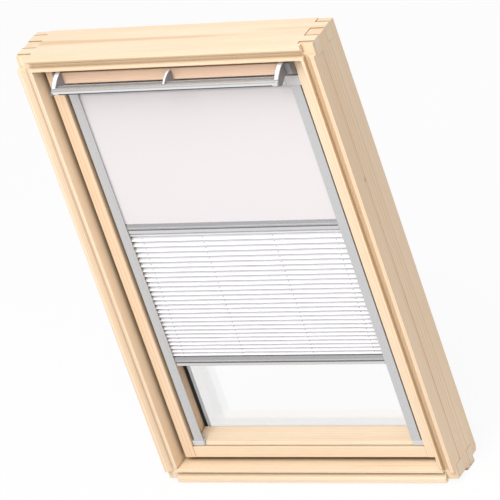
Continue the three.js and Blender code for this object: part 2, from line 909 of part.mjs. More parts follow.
function railBottomCap({ name, sign }) {
  const section = [
    [headFront, bottomCapBottom], [beadFront, bottomCapBottom],
    [beadBack, beadTop + railCap.bottomGap], [railBack, washAt(railBack) + railCap.bottomGap],
    [railBack, bottomCapTop], [headFront, bottomCapTop],
  ];
  return piece(
    `rail_bottom_cap_${name}`,
    alongX(section, sign * railInnerX, sign * (stileInner - fit.joint)), finishes.capGrey,
  );
}

function blindHeadbox() {
  const front = headFront;
  const innerBack = headBack - headbox.wall;
  const lipTop = headBottom + headbox.wall;
  const slotFront = front + headbox.slotFront;
  const section = [
    [slotFront, headBottom], [front, headBottom], [front, headTop], [headBack, headTop],
    [headBack, headBottom], [innerBack, headBottom], [innerBack, headTop - headbox.wall],
    [front + headbox.wall, headTop - headbox.wall], [front + headbox.wall, lipTop], [slotFront, lipTop],
  ];
  const end = capInnerX - fit.joint;
  return piece('blind_headbox', alongX(section, -end, end), finishes.railSilver);
}

// Roller with the cloth still wound on it, and the spring unit inside its tube

function blindRoller() {
  const spindleEnd = railOuterX - railCap.wall - roller.spindleLength;
  return [
    piece('roller_tube', tubeAlongX(
      roller.bore, roller.tube, -tubeX, tubeX, rollerY, rollerZ,
    ), finishes.steel),
    piece('wound_cloth', tubeAlongX(roller.tube + fit.joint, roller.wound, -clothX, clothX, rollerY, rollerZ),
      finishes.blackout),
    piece('roller_spring_unit', roundAlongX(
      roller.spring, -spindleEnd, -spindleEnd + roller.springLength, rollerY, rollerZ,
    ), finishes.steel),
  ];
}

// Blackout cloth and its bar

function barProfile(top, height) {
  return barSectionShares.map(([deep, up]) => [
    barFront + deep * blindBar.depth, top - height + up * height,
  ]);
}

function slidersFor(prefix, middleZ) {
  return sides.map(({ name, sign }) => piece(
    `${prefix}_slider_${name}`,
    block(
      sign * (blindBarX + fit.joint), sign * (blindBarX + fit.joint + slider.length),
      sliderFront, sliderFront + slider.depth,
      middleZ - slider.height / 2, middleZ + slider.height / 2,
    ),
    finishes.slider,
  ));
}

function blackoutBlind() {
  const { blackoutTop, blackoutHeight } = blindBar;
  return [
    piece('blackout_cloth', block(
      -clothX, clothX, clothFront, clothBack, blackoutTop + fit.joint, rollerZ,
    ), finishes.blackout),
    piece('blackout_bar', alongX(barProfile(blackoutTop, blackoutHeight), -blindBarX, blindBarX),
      finishes.aluminium),
    ...slidersFor('blackout', blackoutTop - blackoutHeight / 2),
  ];
}

// Pleated cloth: one folded strip whose pitch grows smaller toward the lower bar, and its bar

function pleatLevels(top, bottom) {
  const folds = 2 * pleats.count;
  const levels = [];
  for (let fold = 0; fold <= folds; fold += 1) {
    const along = fold / folds;
    const share = along * (pleats.topShare + (1 - pleats.topShare) * along);
    levels.push(top + (bottom - top) * share);
  }
  return levels;
}

function pleatedBlind() {
  const { pleatTop, pleatHeight } = blindBar;
  const front = railFront + pleats.fromRailFace;
  const levels = pleatLevels(blackoutBarBottom - fit.joint, pleatTop + fit.joint);
  const folds = levels.map((z, fold) => [fold % 2 === 0 ? front + pleats.depth : front, z]);
  return [
    piece('pleated_cloth', foldedStrip(folds, pleats.thickness, -pleatX, pleatX), finishes.pleat),
    piece('pleat_bar', alongX(barProfile(pleatTop, pleatHeight), -blindBarX, blindBarX), finishes.aluminium),
    ...slidersFor('pleat', pleatTop - pleatHeight / 2),
  ];
}

// The assembly

const window = new THREE.Group();
window.position.set(0, -footMiddle, 0);

const outerFrame = new THREE.Group();
outerFrame.add(
  frameHead(), frameSill(), ...sides.map(frameJamb), ...frameCovers(), ...sides.flatMap(framePivot),
);

const blind = new THREE.Group();
blind.add(
  ...sides.map(blindRail), ...sides.map(railTopCap), ...sides.map(railBottomCap), blindHeadbox(),
  ...blindRoller(), ...blackoutBlind(), ...pleatedBlind(),
);

const ventilationFlap = new THREE.Group();
ventilationFlap.add(flapBoard(), ...sides.map(flapEndCap), ...controlArms(), controlBar());

const openingSash = new THREE.Group();
openingSash.add(
  sashTopRail(), sashBottomRail(), ...sides.map(sashStile), sashSeal(), ...glazing(), ...sashCovers(),
  ...sides.map(sashPivot), ventilationFlap, blind,
);

window.add(outerFrame, openingSash);

export default window;
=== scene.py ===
"""The looks of a centre-pivot roof window in lacquered pine with its double blind.

Every length is in metres unless its name says millimetres. X runs across the window, Y from the room to
the outside and Z up along the window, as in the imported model.
"""

import logging
import math
from dataclasses import dataclass
from enum import Enum
from typing import Any, Iterable, Optional, Sequence

import bmesh
import bpy
from mathutils import Matrix, Vector


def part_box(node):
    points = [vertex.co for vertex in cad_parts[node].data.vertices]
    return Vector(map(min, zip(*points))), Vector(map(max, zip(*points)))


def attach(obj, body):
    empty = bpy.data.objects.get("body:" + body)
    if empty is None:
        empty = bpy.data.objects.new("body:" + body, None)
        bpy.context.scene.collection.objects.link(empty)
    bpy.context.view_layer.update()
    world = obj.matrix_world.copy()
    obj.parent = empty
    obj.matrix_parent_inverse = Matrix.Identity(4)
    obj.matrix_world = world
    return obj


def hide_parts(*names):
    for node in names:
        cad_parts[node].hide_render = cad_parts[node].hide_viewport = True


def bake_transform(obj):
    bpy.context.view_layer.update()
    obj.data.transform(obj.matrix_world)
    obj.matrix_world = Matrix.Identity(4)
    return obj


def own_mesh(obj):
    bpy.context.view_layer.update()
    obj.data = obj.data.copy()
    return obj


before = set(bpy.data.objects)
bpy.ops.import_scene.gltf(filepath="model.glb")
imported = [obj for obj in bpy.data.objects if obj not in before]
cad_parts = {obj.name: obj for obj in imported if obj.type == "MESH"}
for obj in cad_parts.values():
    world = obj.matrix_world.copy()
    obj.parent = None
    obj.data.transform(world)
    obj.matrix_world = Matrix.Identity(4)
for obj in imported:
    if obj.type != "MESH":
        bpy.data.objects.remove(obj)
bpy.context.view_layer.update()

log = logging.getLogger("roof_window")

MILLIMETRE = 0.001
Point2 = tuple[float, float]
Point3 = tuple[float, float, float]
Tree = bpy.types.NodeTree
Node = bpy.types.Node
Socket = bpy.types.NodeSocket
Piece = bpy.types.Object
Mesh = bmesh.types.BMesh
SIDES = ("left", "right")


# Shared helpers


def mm(length: float) -> float:
    """Turns millimetres into metres."""
    return length * MILLIMETRE


def linear(hex_colour: str) -> tuple[float, float, float, float]:
    """Turns an sRGB hex colour into linear red, green, blue and alpha.

    Args:
        hex_colour: Six hex digits, with or without a leading hash.

    Returns:
        The colour as Blender's sockets take it, with alpha 1.
    """
    digits = hex_colour.lstrip("#")
    channels = (int(digits[place:place + 2], 16) / 255 for place in (0, 2, 4))
    return (*(c / 12.92 if c <= 0.04045 else ((c + 0.055) / 1.055) ** 2.4 for c in channels), 1.0)


def add_node(
    tree: Tree,
    kind: str,
    inputs: Optional[dict[Any, Any]] = None,
    stops: Sequence[tuple[float, str]] = (),
    **settings: Any,
) -> Node:
    """Adds a node, sets its properties and sockets, and links each socket that is given an output.

    Args:
        tree: The node tree that gets the node.
        kind: The node's type name.
        inputs: Socket name or number, and its value or the output that feeds it.
        stops: Places and hex colours of a colour ramp.
        **settings: The node's own properties.

    Returns:
        The new node.
    """
    node = tree.nodes.new(kind)
    for name, value in settings.items():
        setattr(node, name, value)
    for index, (place, colour) in enumerate(stops):
        elements = node.color_ramp.elements
        element = elements[index] if index < 2 else elements.new(place)
        element.position, element.color = place, linear(colour)
    for name, value in (inputs or {}).items():
        socket = node.inputs[name]
        if isinstance(value, Socket):
            tree.links.new(value, socket)
        else:
            socket.default_value = value
    return node


def wave_scale(period_mm: float) -> float:
    """Gives the scale at which Blender's wave texture repeats once in so many millimetres."""
    return math.pi / 10 / mm(period_mm)


def noise(tree: Tree, place: Socket, size_mm: float, detail: float = 2.0, roughness: float = 0.5,
          output: str = "Fac") -> Socket:
    """Gives clouds or grain with features of a size in millimetres."""
    return add_node(tree, "ShaderNodeTexNoise", {
        "Vector": place, "Scale": 1 / mm(size_mm), "Detail": detail, "Roughness": roughness,
    }).outputs[output]


def cells(tree: Tree, place: Socket, size_mm: float, output: str = "Color",
          randomness: float = 1.0) -> Socket:
    """Gives cells of a size in millimetres, in rows where randomness is 0."""
    return add_node(tree, "ShaderNodeTexVoronoi", {
        "Vector": place, "Scale": 1 / mm(size_mm), "Randomness": randomness,
    }).outputs[output]


def ranged(tree: Tree, value: Socket, low: float, high: float, start: float = 0.0,
           end: float = 1.0) -> Socket:
    """Gives a value that runs from low to high while another runs from start to end."""
    return add_node(tree, "ShaderNodeMapRange", {
        "Value": value, "From Min": start, "From Max": end, "To Min": low, "To Max": high,
    }).outputs["Result"]


def reckoned(tree: Tree, operation: str, *values: Any) -> Socket:
    """Gives what one operation makes of one or two numbers."""
    return add_node(tree, "ShaderNodeMath", dict(enumerate(values)), operation=operation).outputs["Value"]


def mixed(tree: Tree, share: Socket, one: Any, other: Any) -> Socket:
    """Gives the colour that lies between one and another by a share."""
    return add_node(tree, "ShaderNodeMixRGB", {"Fac": share, "Color1": one, "Color2": other}).outputs["Color"]


def toned(tree: Tree, colour: Any, tone: Socket) -> Socket:
    """Gives a colour made darker or lighter by a tone."""
    scaled = add_node(tree, "ShaderNodeVectorMath", {0: colour, "Scale": tone}, operation="SCALE")
    return scaled.outputs["Vector"]


def placed(tree: Tree, place: Socket, **inputs: Point3) -> Socket:
    """Gives coordinates that are scaled, turned or moved."""
    return add_node(tree, "ShaderNodeMapping", {"Vector": place, **inputs}).outputs["Vector"]


# Finishes


class Grain(Enum):
    """The way that a piece's grain, drawing or extrusion lines run."""

    ACROSS = "X"
    UP = "Z"


@dataclass(frozen=True)
class Finish:
    """What a piece is made of and how its surface was made."""

    name: str
    colour: str
    roughness: float
    metallic: float = 0.0

    def material(self) -> bpy.types.Material:
        """Builds the material with its pattern, or gives the one that was built before."""
        known = bpy.data.materials.get(f"finish_{self.name}")
        if known:
            return known
        made = bpy.data.materials.new(f"finish_{self.name}")
        made.use_nodes = True
        tree = made.node_tree
        tree.nodes.clear()
        shader = add_node(tree, "ShaderNodeBsdfPrincipled")
        shader.inputs["Base Color"].default_value = linear(self.colour)
        shader.inputs["Roughness"].default_value = self.roughness
        shader.inputs["Metallic"].default_value = self.metallic
        add_node(tree, "ShaderNodeOutputMaterial", {"Surface": shader.outputs["BSDF"]})
        place = add_node(tree, "ShaderNodeTexCoord").outputs["Object"]
        self.pattern(tree, shader, place)
        return made

    def pattern(self, tree: Tree, shader: Node, place: Socket) -> None:
        """Adds the finish's own pattern; each finish has its own."""
        raise NotImplementedError

    def tint(self, tree: Tree, shader: Node, tone: Socket) -> None:
        """Colours the surface with the finish's own colour times a tone."""
        tree.links.new(toned(tree, linear(self.colour)[:3], tone), shader.inputs["Base Color"])

    def roughen(self, tree: Tree, shader: Node, pattern: Socket, less: float, more: float) -> None:
        """Varies the roughness by a pattern, from less than the finish's own to more."""
        varied = ranged(tree, pattern, self.roughness - less, self.roughness + more)
        tree.links.new(varied, shader.inputs["Roughness"])

    def bump(self, tree: Tree, shader: Node, height: Socket, strength: float, depth_mm: float) -> None:
        """Raises the surface by a pattern, whose highest places are depth_mm high."""
        inputs = {"Height": height, "Strength": strength, "Distance": mm(depth_mm)}
        tree.links.new(add_node(tree, "ShaderNodeBump", inputs).outputs["Normal"], shader.inputs["Normal"])


@dataclass(frozen=True)
class LacqueredPine(Finish):
    """Planed Scots pine under clear satin lacquer: pale, with faint straight year rings and a soft shine."""

    colour: str = "#FAE5C8"
    roughness: float = 0.4
    grain: Grain = Grain.UP
    pith_mm: Point2 = (70.0, 40.0)
    seed: float = 0.0
    late_wood: str = "#DFB186"
    warm_wood: str = "#F5D8B5"
    knot: str = "#B98A55"
    # painted shade: the colour that grooves and inner corners are darkened toward
    crevice_shade_colour: str = "#8C7552"
    crevice_shade_mm: float = 18.0   # how near another surface has to be for a place to get painted shade
    ring_mm: float = 4.2       # real rings are 2 to 3 mm; drawn wider so that they show at this distance
    wander_mm: float = 60.0    # how far apart the rings' bends lie
    sway_mm: float = 7.0       # how far the rings bend aside
    band_mm: float = 26.0
    fibre_mm: float = 1.6      # real fibres are finer than 0.1 mm; drawn coarse so that they show
    knot_spread_mm: float = 150.0
    knot_stretch: float = 0.7
    stretch: float = 0.035     # the pattern's scale along the grain, which makes its marks long and thin

    def pattern(self, tree: Tree, shader: Node, place: Socket) -> None:
        """Draws year rings round the pith, colour bands, fibres and a few small knots, and paints shade into
        the crevices.
        """
        turn = (0.0, -math.pi / 2, 0.0) if self.grain is Grain.ACROSS else (0.0, 0.0, 0.0)
        pith = (mm(self.pith_mm[0]), mm(self.pith_mm[1]), self.seed)
        trunk = placed(tree, place, Rotation=turn, Location=pith)
        along = placed(tree, trunk, Scale=(1.0, 1.0, self.stretch))
        wander = noise(tree, along, self.wander_mm, output="Color")
        bent = add_node(tree, "ShaderNodeVectorMath", {
            0: wander, 1: (mm(self.sway_mm), mm(self.sway_mm), 0.0), 2: along,
        }, operation="MULTIPLY_ADD").outputs["Vector"]
        rings = add_node(tree, "ShaderNodeTexWave", {
            "Vector": bent, "Scale": wave_scale(self.ring_mm), "Distortion": 1.2, "Detail": 2.0,
            "Detail Scale": 0.6,
        }, wave_type="RINGS", rings_direction="Z", wave_profile="SAW").outputs["Fac"]
        ring_tone = add_node(tree, "ShaderNodeValToRGB", {"Fac": rings}, stops=(
            (0.0, "#1C1C1C"), (1.0, "#1C1C1C"), (0.62, "#484848"), (0.88, "#C8C8C8"),
        )).outputs["Color"]
        bands = noise(tree, along, self.band_mm, detail=3.0, roughness=0.55)
        band_tone = ranged(tree, bands, low=0.0, high=0.75, start=0.35, end=0.7)
        fibres = noise(tree, along, self.fibre_mm, detail=3.0, roughness=0.6)
        fibre_tone = ranged(tree, fibres, low=0.94, high=1.03, start=0.3, end=0.7)
        warm = mixed(tree, band_tone, linear(self.colour), linear(self.warm_wood))
        ringed = mixed(tree, ring_tone, warm, linear(self.late_wood))
        streaked = toned(tree, ringed, fibre_tone)
        spot = placed(tree, trunk, Scale=(1.0, 1.0, self.knot_stretch))
        branch = cells(tree, spot, self.knot_spread_mm, output="Distance")
        knot_tone = add_node(tree, "ShaderNodeValToRGB", {"Fac": branch}, stops=(
            (0.0, "#E0E0E0"), (1.0, "#000000"), (0.016, "#909090"), (0.026, "#D0D0D0"), (0.034, "#383838"),
            (0.05, "#000000"),
        )).outputs["Color"]
        knotted = mixed(tree, knot_tone, streaked, linear(self.knot))
        tree.links.new(self.with_painted_crevice_shade(tree, knotted), shader.inputs["Base Color"])
        self.roughen(tree, shader, fibres, less=0.07, more=0.07)
        shader.inputs["Coat Weight"].default_value = 0.35
        shader.inputs["Coat Roughness"].default_value = 0.28
        self.bump(tree, shader, fibres, strength=0.25, depth_mm=0.06)

    def with_painted_crevice_shade(self, tree: Tree, wood: Socket) -> Socket:
        """Paints shade into the wood's grooves and inner corners, darker where other surfaces are near.

        Args:
            tree: The material's node tree.
            wood: The colour of the open wood.

        Returns:
            The colour with painted shade in its crevices.
        """
        openness = add_node(tree, "ShaderNodeAmbientOcclusion", {"Distance": mm(self.crevice_shade_mm)}, samples=8)
        depth = ranged(tree, openness.outputs["AO"], low=0.75, high=0.0, start=0.3, end=0.72)
        return mixed(tree, depth, wood, linear(self.crevice_shade_colour))


@dataclass(frozen=True)
class ExtrudedAluminium(Finish):
    """Aluminium drawn through a die and anodised: satin grey metal with fine straight die lines."""

    colour: str = "#D6D5D7"
    roughness: float = 0.24
    grain: Grain = Grain.ACROSS
    line_mm: float = 0.7       # die lines are near 0.1 mm; drawn coarse so that they show
    line_stretch: float = 0.004
    metallic: float = 0.8
    groove_shade_mm: float = 9.0     # grooves up to this wide are painted darker, as painted shade
    groove_shade_tone: float = 0.22

    def pattern(self, tree: Tree, shader: Node, place: Socket) -> None:
        """Draws the die lines in colour, roughness and height, and paints shade into the narrow grooves."""
        along = self.line_stretch
        scale = (along, 1.0, 1.0) if self.grain is Grain.ACROSS else (1.0, 1.0, along)
        lines = noise(tree, placed(tree, place, Scale=scale), self.line_mm, detail=3.0, roughness=0.6)
        tone = ranged(tree, lines, low=0.94, high=1.04, start=0.3, end=0.7)
        # painted shade: the narrow grooves are darkened by how closed in they are
        openness = add_node(tree, "ShaderNodeAmbientOcclusion", {"Distance": mm(self.groove_shade_mm)}, samples=8,
                            only_local=True)
        painted_groove_shade = ranged(tree, openness.outputs["AO"], low=self.groove_shade_tone, high=1.0, start=0.3, end=0.9)
        self.tint(tree, shader, reckoned(tree, "MULTIPLY", tone, painted_groove_shade))
        self.roughen(tree, shader, lines, less=0.06, more=0.08)
        self.bump(tree, shader, lines, strength=0.15, depth_mm=0.02)


@dataclass(frozen=True)
class SilverLacquer(Finish):
    """Roll-formed or extruded aluminium under silver-grey lacquer: pale and even, with fine flakes."""

    colour: str = "#C9C9CA"
    roughness: float = 0.3
    metallic: float = 0.5
    flake_mm: float = 0.9      # flakes are near 0.05 mm; drawn coarse so that they show

    def pattern(self, tree: Tree, shader: Node, place: Socket) -> None:
        """Draws the flakes as small cells of slightly different grey."""
        flakes = cells(tree, place, self.flake_mm)
        self.tint(tree, shader, ranged(tree, flakes, low=0.955, high=1.03))
        self.roughen(tree, shader, flakes, less=0.04, more=0.06)


@dataclass(frozen=True)
class MouldedABS(Finish):
    """Injection-moulded ABS from a spark-eroded mould: even colour, a fine matt pebble and a soft shine."""

    colour: str = "#D4D4D5"
    roughness: float = 0.42
    pebble_mm: float = 0.8     # the mould's grain is near 0.2 mm; drawn coarse so that it shows
    cloud_mm: float = 30.0

    def pattern(self, tree: Tree, shader: Node, place: Socket) -> None:
        """Draws the mould's pebble in height and roughness, and the slight flow clouds in colour."""
        pebble = noise(tree, place, self.pebble_mm)
        clouds = noise(tree, place, self.cloud_mm)
        self.tint(tree, shader, ranged(tree, clouds, low=0.97, high=1.02, start=0.3, end=0.7))
        self.roughen(tree, shader, pebble, less=0.05, more=0.1)
        self.bump(tree, shader, pebble, strength=0.3, depth_mm=0.04)


@dataclass(frozen=True)
class ZincPlatedSteel(Finish):
    """Pressed steel with bright zinc plating: cool grey metal with a faint crystal spangle."""

    colour: str = "#AEB3B8"
    roughness: float = 0.33
    metallic: float = 1.0
    spangle_mm: float = 3.5

    def pattern(self, tree: Tree, shader: Node, place: Socket) -> None:
        """Draws the spangle as cells with their own grey and roughness."""
        spangle = cells(tree, place, self.spangle_mm)
        self.tint(tree, shader, ranged(tree, spangle, low=0.86, high=1.05))
        self.roughen(tree, shader, spangle, less=0.08, more=0.12)


@dataclass(frozen=True)
class ExtrudedRubber(Finish):
    """Extruded EPDM rubber: near-black and dull, with a faint grey bloom."""

    colour: str = "#232325"
    roughness: float = 0.72
    bloom: str = "#3A3A3C"
    bloom_mm: float = 12.0
    skin_mm: float = 0.8

    def pattern(self, tree: Tree, shader: Node, place: Socket) -> None:
        """Draws the bloom as soft clouds and the skin as a fine grain."""
        clouds = noise(tree, place, self.bloom_mm, detail=3.0)
        bloomed = mixed(tree, clouds, linear(self.colour), linear(self.bloom))
        tree.links.new(bloomed, shader.inputs["Base Color"])
        self.bump(tree, shader, noise(tree, place, self.skin_mm), strength=0.2, depth_mm=0.05)


@dataclass(frozen=True)
class FloatGlass(Finish):
    """Float glass: clear and smooth, with the slightest waviness of its drawing."""

    colour: str = "#FFFFFF"
    roughness: float = 0.0
    wave_mm: float = 220.0
    refraction: float = 1.52

    def pattern(self, tree: Tree, shader: Node, place: Socket) -> None:
        """Lets light through and bends the surface by a long faint wave."""
        shader.inputs["Transmission Weight"].default_value = 1.0
        shader.inputs["IOR"].default_value = self.refraction
        waves = noise(tree, place, self.wave_mm, detail=0.0)
        self.bump(tree, shader, waves, strength=0.05, depth_mm=0.05)


@dataclass(frozen=True)
class PerforatedSpacer(Finish):
    """Folded stainless strip with rows of tiny holes to the cavity: bright satin metal with a dotted line."""

    colour: str = "#C4C7C9"
    roughness: float = 0.34
    metallic: float = 1.0
    hole_pitch_mm: float = 4.0
    hole: str = "#4A4C4E"

    def pattern(self, tree: Tree, shader: Node, place: Socket) -> None:
        """Draws the holes at an even pitch."""
        holes = cells(tree, place, self.hole_pitch_mm, output="Distance", randomness=0.0)
        tone = add_node(tree, "ShaderNodeValToRGB", {"Fac": holes}, stops=(
            (0.0, "#FFFFFF"), (1.0, "#000000"), (0.2, "#FFFFFF"), (0.28, "#000000"),
        )).outputs["Color"]
        dotted = mixed(tree, tone, linear(self.colour), linear(self.hole))
        tree.links.new(dotted, shader.inputs["Base Color"])


@dataclass(frozen=True)
class CoilCoatedAluminium(Finish):
    """Bent aluminium sheet with dark grey coil coating: matt, with a fine leathery skin."""

    colour: str = "#4B4E51"
    roughness: float = 0.5
    skin_mm: float = 1.2       # the coating's texture is near 0.3 mm; drawn coarse so that it shows
    cloud_mm: float = 60.0
    metallic: float = 0.3

    def pattern(self, tree: Tree, shader: Node, place: Socket) -> None:
        """Draws the coating's skin and the slight clouds of weathering."""
        clouds = noise(tree, place, self.cloud_mm, detail=3.0)
        self.tint(tree, shader, ranged(tree, clouds, low=0.93, high=1.06, start=0.3, end=0.7))
        self.bump(tree, shader, noise(tree, place, self.skin_mm), strength=0.25, depth_mm=0.05)


@dataclass(frozen=True)
class WovenBlackout(Finish):
    """Close-woven polyester with a coated back: white, matt and opaque, with a barely seen thread grid."""

    colour: str = "#EAE4E5"
    roughness: float = 0.85
    thread_mm: float = 1.5     # threads lie 0.3 mm apart; drawn coarse so that they show
    shade: str = "#E1DBDD"
    sheen: float = 0.1

    def pattern(self, tree: Tree, shader: Node, place: Socket) -> None:
        """Draws warp and weft as two crossing waves."""
        warp, weft = (
            add_node(tree, "ShaderNodeTexWave", {
                "Vector": place, "Scale": wave_scale(self.thread_mm), "Distortion": 0.4, "Detail": 1.0,
            }, wave_type="BANDS", bands_direction=way).outputs["Fac"] for way in ("X", "Z")
        )
        crossing = reckoned(tree, "MULTIPLY", warp, weft)
        woven = mixed(tree, crossing, linear(self.shade), linear(self.colour))
        tree.links.new(woven, shader.inputs["Base Color"])
        shader.inputs["Sheen Weight"].default_value = self.sheen
        self.bump(tree, shader, crossing, strength=0.2, depth_mm=0.05)


@dataclass(frozen=True)
class PleatedPolyester(Finish):
    """Thin non-woven polyester, heat-set in pleats: white and matt, with fibres pressed every way."""

    colour: str = "#F8F7F8"
    roughness: float = 0.9
    fibre_mm: float = 2.0      # fibres are near 0.05 mm; drawn coarse so that they show
    shade: str = "#EDECEE"
    punched: str = "#A9A7AB"
    hole_mm: float = 2.6
    hole_columns_mm: Point2 = (94.0, 256.0)
    hole_depth_mm: float = -28.4

    def pattern(self, tree: Tree, shader: Node, place: Socket) -> None:
        """Draws the pressed fibres, and the round holes that the cords run through."""
        fibres = noise(tree, place, self.fibre_mm, detail=4.0, roughness=0.65)
        plain = mixed(tree, fibres, linear(self.shade), linear(self.colour))
        pierced = mixed(tree, self.holes(tree, place), plain, linear(self.punched))
        tree.links.new(pierced, shader.inputs["Base Color"])
        self.bump(tree, shader, fibres, strength=0.15, depth_mm=0.05)

    def holes(self, tree: Tree, place: Socket) -> Socket:
        """Marks the holes: two columns on each side of the middle, one hole in each slope of a pleat.

        Args:
            tree: The material's node tree.
            place: The object's own coordinates.

        Returns:
            The output that is 1 in a hole and 0 elsewhere.
        """
        axes = add_node(tree, "ShaderNodeSeparateXYZ", {"Vector": place}).outputs
        from_middle = reckoned(tree, "ABSOLUTE", axes["X"])
        depth = reckoned(tree, "SUBTRACT", axes["Y"], mm(self.hole_depth_mm))
        found = []
        for column in self.hole_columns_mm:
            aside = reckoned(tree, "SUBTRACT", from_middle, mm(column))
            spot = add_node(tree, "ShaderNodeCombineXYZ", {"X": aside, "Y": depth}).outputs["Vector"]
            away = add_node(tree, "ShaderNodeVectorMath", {0: spot}, operation="LENGTH").outputs["Value"]
            found.append(reckoned(tree, "LESS_THAN", away, mm(self.hole_mm) / 2))
        return reckoned(tree, "MAXIMUM", *found)


@dataclass(frozen=True)
class StudioPaper(Finish):
    """Seamless white background paper: matt, and lit so that only the object's shadow shows on it."""

    colour: str = "#F2F2F2"
    roughness: float = 0.9
    glow: float = 0.93

    def pattern(self, tree: Tree, shader: Node, place: Socket) -> None:
        """Mixes in plain white for the rays that look at the paper or mirror it, and keeps the shadow."""
        rays = add_node(tree, "ShaderNodeLightPath").outputs
        seen = reckoned(tree, "MAXIMUM", rays["Is Camera Ray"], rays["Is Glossy Ray"])
        looked = reckoned(tree, "MAXIMUM", seen, rays["Is Transmission Ray"])
        share = reckoned(tree, "MULTIPLY", looked, self.glow)
        white = add_node(tree, "ShaderNodeEmission", {"Strength": 1.0}).outputs["Emission"]
        lit = add_node(tree, "ShaderNodeMixShader", {"Fac": share, 1: shader.outputs["BSDF"], 2: white})
        output = tree.get_output_node("ALL")
        tree.links.new(lit.outputs["Shader"], output.inputs["Surface"])


RUBBER = ExtrudedRubber("epdm_rubber")
SEALANT = ExtrudedRubber("butyl_sealant", colour="#2A2A2C", roughness=0.55, bloom="#333335")
GLASS = FloatGlass("float_glass")
SPACER = PerforatedSpacer("stainless_spacer")
STEEL = ZincPlatedSteel("zinc_plated_steel")
COVER = CoilCoatedAluminium("coil_coated_aluminium")
BAR_METAL = ExtrudedAluminium("anodised_bar")
# painted shade reaches wider and deeper into the handle's grooves
HANDLE_METAL = ExtrudedAluminium("anodised_handle", colour="#EAE9E9", groove_shade_mm=18.0, groove_shade_tone=0.08)
RAIL_SILVER = SilverLacquer("silver_lacquer")
CAP_GREY = MouldedABS("abs_light_grey")
ARM_GREY = MouldedABS("abs_mid_grey", colour="#86868B", roughness=0.38)
# painted highlight: a pale strip on each arm's front, where the light catches it
ARM_HIGHLIGHT = MouldedABS("abs_painted_highlight", colour="#EEEDEF", roughness=0.3)
SLIDER_GREY = MouldedABS("abs_slider_grey", colour="#B3B4B7")
BLACKOUT = WovenBlackout("woven_blackout")
BLACKOUT_BACK = WovenBlackout("blackout_coating", colour="#D9D9DB", shade="#D0D0D3")
PLEAT = PleatedPolyester("pleated_polyester")
PAPER = StudioPaper("studio_paper")
# dark lines of the comb joint: glue lines, and painted shade of the gaps between the fingers
GLUE_AND_GAP_SHADE = MouldedABS("glue_and_painted_gap_shade", colour="#6B4F33", roughness=0.6)
# painted shade: a dark strip under the control bar, where the bar's underside is in shade
UNDERSIDE_SHADE_STRIP = ExtrudedRubber("painted_underside_shade", colour="#444347", roughness=0.55, bloom="#515055")


# Mesh helpers


def mesh_from(name: str, build: Mesh, finishes: Sequence[Finish]) -> Piece:
    """Turns a finished bmesh into an object in the scene.

    Args:
        name: The piece's name.
        build: The bmesh, which is freed.
        finishes: The finishes, one for each material number that the faces use.

    Returns:
        The new object.
    """
    bmesh.ops.recalc_face_normals(build, faces=build.faces)
    data = bpy.data.meshes.new(name)
    build.to_mesh(data)
    build.free()
    for finish in finishes:
        data.materials.append(finish.material())
    made = bpy.data.objects.new(name, data)
    bpy.context.scene.collection.objects.link(made)
    return made


def extruded(section: Sequence[Point2], stations: Sequence[float]) -> Mesh:
    """Runs a closed section across the window, with a ring of points at each station.

    Args:
        section: Corners in Y and Z.
        stations: Places along X, from one end to the other.

    Returns:
        A closed bmesh.
    """
    build = bmesh.new()
    rings = []
    for station in stations:
        rings.append([build.verts.new((station, y, z)) for y, z in section])
    for near, far in zip(rings, rings[1:]):
        for index in range(len(section)):
            following = (index + 1) % len(section)
            build.faces.new((near[index], near[following], far[following], far[index]))
    build.faces.new(rings[0])
    build.faces.new(rings[-1])
    return build


def strip(face: Sequence[Point2], rear: Sequence[Point2], stations: Sequence[float]) -> Mesh:
    """Runs a thin folded or wound sheet across, with its ends closed by small faces.

    Args:
        face: The places of the sheet's one side, in Y and Z.
        rear: The same places on its other side.
        stations: Places along X, from one end to the other.

    Returns:
        A closed bmesh.
    """
    build = extruded([*face, *reversed(rear)], stations)
    ends = [found for found in build.faces if len(found.verts) > 4]
    bmesh.ops.delete(build, geom=ends, context="FACES_ONLY")
    build.verts.ensure_lookup_table()
    count = len(face) + len(rear)
    for offset in (0, count * (len(stations) - 1)):
        for step in range(len(face) - 1):
            across = (step, step + 1, count - 2 - step, count - 1 - step)
            build.faces.new([build.verts[offset + place] for place in across])
    return build


def spread_out(low: float, high: float, parts: int) -> list[float]:
    """Gives evenly spaced places between two others, both ends included."""
    return [low + (high - low) * part / parts for part in range(parts + 1)]


# Sub-assemblies


